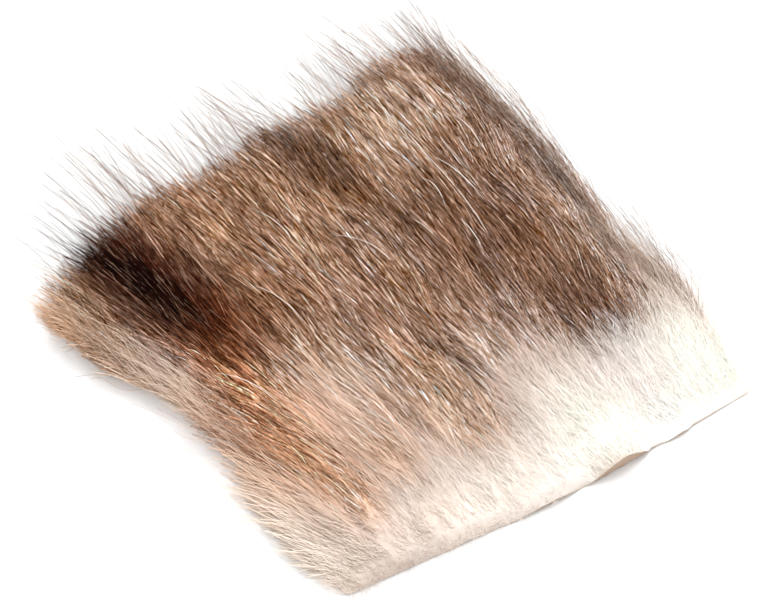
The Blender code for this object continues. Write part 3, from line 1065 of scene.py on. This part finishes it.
def fur_material():
    material, tree, shader = new_material("fur_hair_of_a_tanned_pelt", Roughness=0.55, Specular_IOR_Level=0.02)
    bands = noise_texture(tree, stored(tree, "lie", "Vector"), BAND_AND_SHEEN_ACROSS_MM, Detail=1.0)
    change = product(tree, maths(tree, "SUBTRACT", bands, 0.5), BAND_AND_SHEEN_CONTRAST, stored(tree, "streaky", "Fac"))
    factor = vector_maths(tree, "ADD", scaled(tree, BAND_AND_SHEEN_TINT, change), (1.0, 1.0, 1.0))
    colour = vector_maths(tree, "MULTIPLY", stored(tree, "coat", "Color"), factor)
    tree.links.new(colour, shader.inputs["Base Color"])
    return material


hair = fur_material()

# %% [markdown]
# ## Grow the coat
#
# A coat is made of layers, one to each row of the table. Fill hairs close the rims. Inner hairs
# thicken the wool, and outer and guard hairs show the lie. Down softens the pale front, fluff hangs
# over the knife cut, and long strays break the outline. When a layer has become a plain mesh, its
# hairs are coloured by where their outer halves lie, because that is the half that is seen, and
# their normals are set as on round fibres.

# %% The layers of the coat
LAYER_COLUMNS = (
    "name", "grows from", "Hairs per m2", "Thick where", "Seed", "Points a hair", "Reach", "Depth", "Uneven",
    "Uneven depth", "Width", "Lock size", "Lock pull", "Lock swing", "Frizz", "Bend", "tint", "contrast",
)
IN_MM = ("Width", "Lock size", "Lock swing", "Frizz", "Bend")
LAYERS = (
    ("fur_fill", "skin", 2.8e6, "fill_thick", 101, 4, 0.85, 0.66, 0.30,
     0.25, 0.20, 1.6, 0.5, 1.0, 4.0, 0.8, 1.8, 0.6),
    ("fur_inner", "wool", 3.4e6, "coat_thick", 202, 3, 0.50, 0.45, 0.35,
     0.5, 0.11, 1.8, 0.2, 0.5, 1.1, 0.1, 1.8, 0.9),
    ("fur_outer", "wool", 3.4e6, "coat_thick", 404, 3, 0.65, 0.62, 0.35,
     0.4, 0.11, 2.2, 0.12, 0.5, 1.2, 0.1, 1.8, 1.3),
    ("fur_guard", "wool", 2.1e6, "coat_thick", 505, 4, 0.90, 0.90, 0.40,
     0.3, 0.11, 2.8, 0.10, 0.6, 1.5, 0.15, 1.7, 1.7),
    ("fur_down", "wool", 3.2e6, "down_thick", 606, 5, 0.90, 1.00, 0.40,
     0.35, 0.10, 2.5, 0.2, 0.8, 1.5, 0.8, 1.35, 1.3),
    ("fur_edge", "skin", 6.0e6, "edge_thick", 808, 5, -0.05, 0.55, 2.20,
     0.50, 0.07, 2.5, 0.2, 0.6, 1.8, 1.2, 1.1, 1.6),
    ("fur_stray", "skin", 1.8e6, "rim_thick", 707, 9, 1.60, 1.10, 0.45,
     0.30, 0.085, 3.5, 0.15, 2.0, 5.5, 2.0, 0.8, 1.0),
)
SAME_FOR_ALL = {"Floor": 0.15 * MM, "Cells a side": 225, "Material": hair}

# %% Each hair's colour
SEEN_AT = 0.7
MIXING = 4.5 * MM
HAIR_TONES = ((0, 0.22, 0.42, 0.80, 1.0), (-1.6, -0.95, 0.05, 0.30, 0.95))
TONE_TINT = np.array([0.80, 1.0, 1.20])
TONE_STEPS = 41
EVEN_IN_PALE = 0.96
PALE_GAIN = 1.3
PLAIN_TIPS = 0.4
TIP_DARKER = 0.5
TIP_FROM = 0.6
TIP_FADE = 0.35
GLINT = "#b69178"
GLINT_STRENGTH = 0.5
GLINT_STRENGTH_IN_DARK = 0.42
GLINT_SHARE = 0.09
GLINT_DARK = 0.06
GLINT_SHARE_IN_DARK = 0.03


def again(luck, times):
    """Another random number from 0 to 1, made from one that a hair already has."""
    return luck * times % 1


def hair_colours(spine, shade, along, tint, contrast):
    """Colours each hair by where its outer half lies. Gives the colours, and how pale each hair is."""
    spot = spine[:, int(round((spine.shape[1] - 1) * SEEN_AT)), :2] - CORNER
    luck = shade[:, 0, 0]
    mixed = np.stack([again(luck, 7) - 0.5, again(luck, 17) - 0.5], axis=-1)
    colour = coat_colour(*(spot + mixed * MIXING).T)
    pale = paleness(colour)[:, None, None]
    shade = shade[:, :1]
    tone = np.interp(shade, *HAIR_TONES)
    tipped = (1 - pale) * (again(shade, 13) > PLAIN_TIPS) * TIP_DARKER * smooth((along - TIP_FROM) / TIP_FADE)
    strength = contrast * (1 - EVEN_IN_PALE * smooth(PALE_GAIN * pale))
    usual = np.exp(strength[..., None] * np.interp(np.linspace(0, 1, TONE_STEPS), *HAIR_TONES)).mean(axis=-1)
    factor = np.exp(strength * tone) / usual * (1 - tipped)
    colour = colour[:, None, None, :] * factor[..., None] ** TONE_TINT
    dark = smooth(1 - colour.mean(axis=-1) / GLINT_DARK)
    glint = (again(shade, 29) < GLINT_SHARE + GLINT_SHARE_IN_DARK * dark)[..., None]
    glint = np.clip(glint * (1 - pale[..., None]) * contrast, 0, 1)
    colour = np.minimum(colour * between(tint, 1.0, pale)[..., None], COLOUR_LIMIT)
    glint = glint * between(GLINT_STRENGTH, GLINT_STRENGTH_IN_DARK, dark[..., None])
    return between(colour, linear(GLINT), glint), pale


# %% Each hair's shading
FACING_SHARE = 0.35
SIDE_SHARE = 0.3


def unit(vectors):
    return vectors / np.maximum(np.linalg.norm(vectors, axis=-1, keepdims=True), 1e-12)


def hair_normals(place, spine):
    """Normals that shade a flat ribbon as a round fibre lit from above."""
    fibre = unit(np.gradient(spine, axis=1))[:, :, None, :]
    lit = unit(np.array([0.0, 0.0, 1.0]) - fibre * fibre[..., 2:3])
    over = unit(place[:, :, 1] - place[:, :, 0])[:, :, None, :]
    facing = np.cross(fibre, over)
    facing = facing * np.sign((facing * lit).sum(axis=-1, keepdims=True) + 1e-9)
    side = np.array([-1.0, 1.0])[None, None, :, None]
    return unit(lit + FACING_SHARE * facing + SIDE_SHARE * side * over)


# %% From the tree's ribbons to finished hairs
TREE_VALUES = (
    "root", "strand", "shade", "grown", "raised", "stray", "sway", "roll", "gathered", "along", "over",
    "way", "coat", "lie", "streaky",
)
STREAKY_IN_PALE = 0.05
STREAKY_PALE_GAIN = 2.2


def read(mesh, name):
    """A mesh attribute's numbers as an array."""
    values = np.empty(len(mesh.vertices))
    mesh.attributes[name].data.foreach_get("value", values)
    return values


def finish_hairs(mesh, points, tint, contrast):
    """Puts colours, normals and the lie on the ribbons, in place of what the tree has stored."""
    order = np.lexsort((read(mesh, "over"), read(mesh, "along"), read(mesh, "strand")))
    back = np.argsort(order)
    place = np.empty(len(order) * 3)
    mesh.vertices.foreach_get("co", place)
    place = place.reshape(-1, 3)[order].reshape(-1, points, 2, 3)
    shade, along = (read(mesh, name)[order].reshape(-1, points, 2) for name in ("shade", "along"))
    spine = place.mean(axis=2)
    colour, pale = hair_colours(spine, shade, along, tint, contrast)
    across, lengthways = flow(place[..., 0] - CORNER[0], place[..., 1] - CORNER[1])
    lie = np.stack([across, lengthways / BAND_AND_SHEEN_STRETCH, place[..., 2] / BAND_AND_SHEEN_STRETCH], axis=-1)
    streaky = between(1.0, STREAKY_IN_PALE, smooth(STREAKY_PALE_GAIN * pale))
    normal = hair_normals(place, spine)

    for name in TREE_VALUES + BED_VALUES:
        if name in mesh.attributes:
            mesh.attributes.remove(mesh.attributes[name])
    keep(mesh, "coat", opaque(np.broadcast_to(colour, place.shape))[back], "FLOAT_COLOR")
    keep(mesh, "custom_normal", normal.reshape(-1, 3)[back], "FLOAT_VECTOR")
    keep(mesh, "lie", lie.reshape(-1, 3)[back], "FLOAT_VECTOR")
    keep(mesh, "streaky", np.broadcast_to(streaky, place.shape[:-1]).ravel()[back])
    mesh.polygons.foreach_set("use_smooth", [True] * len(mesh.polygons))
    mesh.update()


# %% Grow the coat
def grow(layer):
    """Grows one layer of the coat as a plain mesh."""
    ground = {"skin": bed, "wool": wool}[layer["grows from"]]
    modifier = ground.modifiers.new("hair", "NODES")
    modifier.node_group = tree
    for name, value in {**layer, **SAME_FOR_ALL}.items():
        if name in sockets:
            modifier[sockets[name]] = value * MM if name in IN_MM else value
    bpy.context.view_layer.update()
    graph = bpy.context.evaluated_depsgraph_get()
    settled = ground.evaluated_get(graph)
    mesh = bpy.data.meshes.new_from_object(settled, preserve_all_data_layers=True, depsgraph=graph)
    ground.modifiers.remove(modifier)
    mesh.name = layer["name"]
    finish_hairs(mesh, layer["Points a hair"], layer["tint"], layer["contrast"])
    piece = bpy.data.objects.new(layer["name"], mesh)
    bpy.context.scene.collection.objects.link(piece)
    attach(piece, "root")
    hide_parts("fur")
    triangles = sum(len(p.vertices) - 2 for p in mesh.polygons)
    print(layer["name"], len(mesh.polygons) // (layer["Points a hair"] - 1), "hairs,", triangles, "triangles")
    return piece


hairs = [grow(layer) for layer in rows(LAYER_COLUMNS, LAYERS)]

# %% [markdown]
# ## Long white guard hairs
#
# A few guard hairs are white, longer than the rest, and lie on top of the coat. Random hairs could
# be bleached. These are seen one by one, so each is laid through three points of its own.

# %% Long white guard hairs
# Where the root, the middle and the tip of each hair are on the skin, in mm
WHITE_HAIRS = (
    ((70.4, 60.6), (70.9, 82.0), (68.1, 107.2)),
    ((75.5, 71.2), (74.2, 80.0), (71.8, 88.8)),
    ((66.0, 72.7), (67.0, 79.6), (65.2, 84.0)),
    ((46.4, 61.1), (45.0, 71.0), (38.1, 79.5)),
    ((66.5, 56.8), (66.7, 62.5), (66.5, 68.4)),
    ((60.0, 63.6), (58.4, 69.0), (57.0, 74.1)),
    ((21.0, 60.0), (19.0, 68.0), (15.5, 75.0)),
    ((30.0, 80.0), (29.5, 88.0), (26.5, 96.0)),
    ((5.0, 44.0), (1.5, 51.0), (-3.5, 57.0)),
    ((84.0, 84.0), (84.2, 92.0), (83.0, 99.0)),
)
WHITE_POINTS = 12
WHITE_WIDTH = 0.14 * MM
WHITE_TAPER = 0.85
WHITE_Z = (10.2 * MM, 12.6 * MM, 12.3 * MM)


def white_hair_material():
    """Guard hair without pigment: glossy, and a little yellow here and there along its length."""
    material, tree, shader = new_material("fur_hair_white_guard", Roughness=0.35)
    bands = noise_texture(tree, add(tree, "ShaderNodeTexCoord").outputs["Object"], size_mm=3, Detail=1.0)
    tree.links.new(two_tones(tree, bands, "#ddd2c4", "#f6f2ec"), shader.inputs["Base Color"])
    return material


def make_white_hairs():
    vertices, faces = [], []
    u = np.linspace(0, 1, WHITE_POINTS)[:, None]
    for row in WHITE_HAIRS:
        root, middle, tip = (
            np.array([x * MM + CORNER[0], y * MM + CORNER[1], z]) for (x, y), z in zip(row, WHITE_Z)
        )
        control = 2 * middle - (root + tip) / 2
        spine = (1 - u) ** 2 * root + 2 * u * (1 - u) * control + u**2 * tip
        fibre = unit(np.gradient(spine, axis=0))
        over = unit(np.cross(fibre, np.array([0.0, 0.0, 1.0])))
        half = over * WHITE_WIDTH / 2 * (1 - WHITE_TAPER * np.abs(2 * u - 1) ** 3)
        first = len(vertices)
        vertices.extend(np.stack([spine - half, spine + half], axis=1).reshape(-1, 3))
        steps = first + 2 * np.arange(WHITE_POINTS - 1)[:, None]
        faces.extend((steps + np.array([0, 1, 3, 2])).tolist())
    return mesh_object("fur_white_guard", vertices, faces, (white_hair_material(),))


white = make_white_hairs()
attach(white, "root")
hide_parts("fur")

# %% The bed's work is done, and the leather carries the coat
for name in BED_VALUES + ("way",):
    wool.data.attributes.remove(wool.data.attributes[name])
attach(wool, "root")
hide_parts("fur")
bpy.data.objects.remove(bed)

# %% [markdown]
# ## Floor, light and camera
#
# The skin lies on white paper in soft light. A broad lamp behind it on the right makes the lie of
# the hair show, a weaker one in front on the left opens the shade, and a white world fills in the
# rest. The camera looks down at the corner of the skin from the left of the cut edge.

# %% Floor, light and camera
FLOOR_HALF = 3.0
floor_material, _, _ = new_material(
    "studio_floor_white_paper", Base_Color=(*linear("#ededed"), 1), Roughness=0.9,
    Emission_Color=(*linear("#ffffff"), 1), Emission_Strength=0.05,
)
corners = [(x * FLOOR_HALF, y * FLOOR_HALF, 0) for x, y in ((-1, -1), (1, -1), (1, 1), (-1, 1))]
floor = mesh_object("floor", corners, [(0, 1, 2, 3)], (floor_material,))

world = bpy.data.worlds.new("studio")
world.use_nodes = True
world.node_tree.nodes["Background"].inputs["Color"].default_value = (*linear("#ffffff"), 1)
world.node_tree.nodes["Background"].inputs["Strength"].default_value = 0.85
bpy.context.scene.world = world

LIGHT_COLUMNS = ("name", "azimuth", "elevation", "distance_m", "size_m", "watts")
LIGHTS = (
    ("key", 120.0, 60.0, 1.2, 0.7, 10.0),
    ("fill", -60.0, 60.0, 1.4, 1.0, 2.0),
)


def towards(azimuth, elevation):
    """The unit vector from the object to a place at this azimuth and elevation. 0 is in front."""
    a, e = math.radians(azimuth), math.radians(elevation)
    return Vector((math.sin(a) * math.cos(e), -math.cos(a) * math.cos(e), math.sin(e)))


for made in rows(LIGHT_COLUMNS, LIGHTS):
    lamp = bpy.data.lights.new(made["name"], "AREA")
    lamp.shape = "DISK"
    lamp.size = made["size_m"]
    lamp.energy = made["watts"]
    holder = bpy.data.objects.new(made["name"], lamp)
    away = towards(made["azimuth"], made["elevation"])
    holder.location = away * made["distance_m"]
    holder.rotation_euler = away.to_track_quat("Z", "Y").to_euler()
    bpy.context.scene.collection.objects.link(holder)

CAMERA_AZIMUTH = -30.8
CAMERA_ELEVATION = 50.0
CAMERA_DISTANCE = 0.48787
TARGET_MM = (42.1, 63.8)
target = Vector((CORNER[0] + TARGET_MM[0] * MM, CORNER[1] + TARGET_MM[1] * MM, 0))

camera_data = bpy.data.cameras.new("camera")
camera_data.lens = 100
camera_data.sensor_width = 36
camera = bpy.data.objects.new("camera", camera_data)
away = towards(CAMERA_AZIMUTH, CAMERA_ELEVATION)
camera.location = target + away * CAMERA_DISTANCE
camera.rotation_euler = away.to_track_quat("Z", "Y").to_euler()
bpy.context.scene.collection.objects.link(camera)
bpy.context.scene.camera = camera
bpy.context.scene.view_settings.view_transform = "Standard"
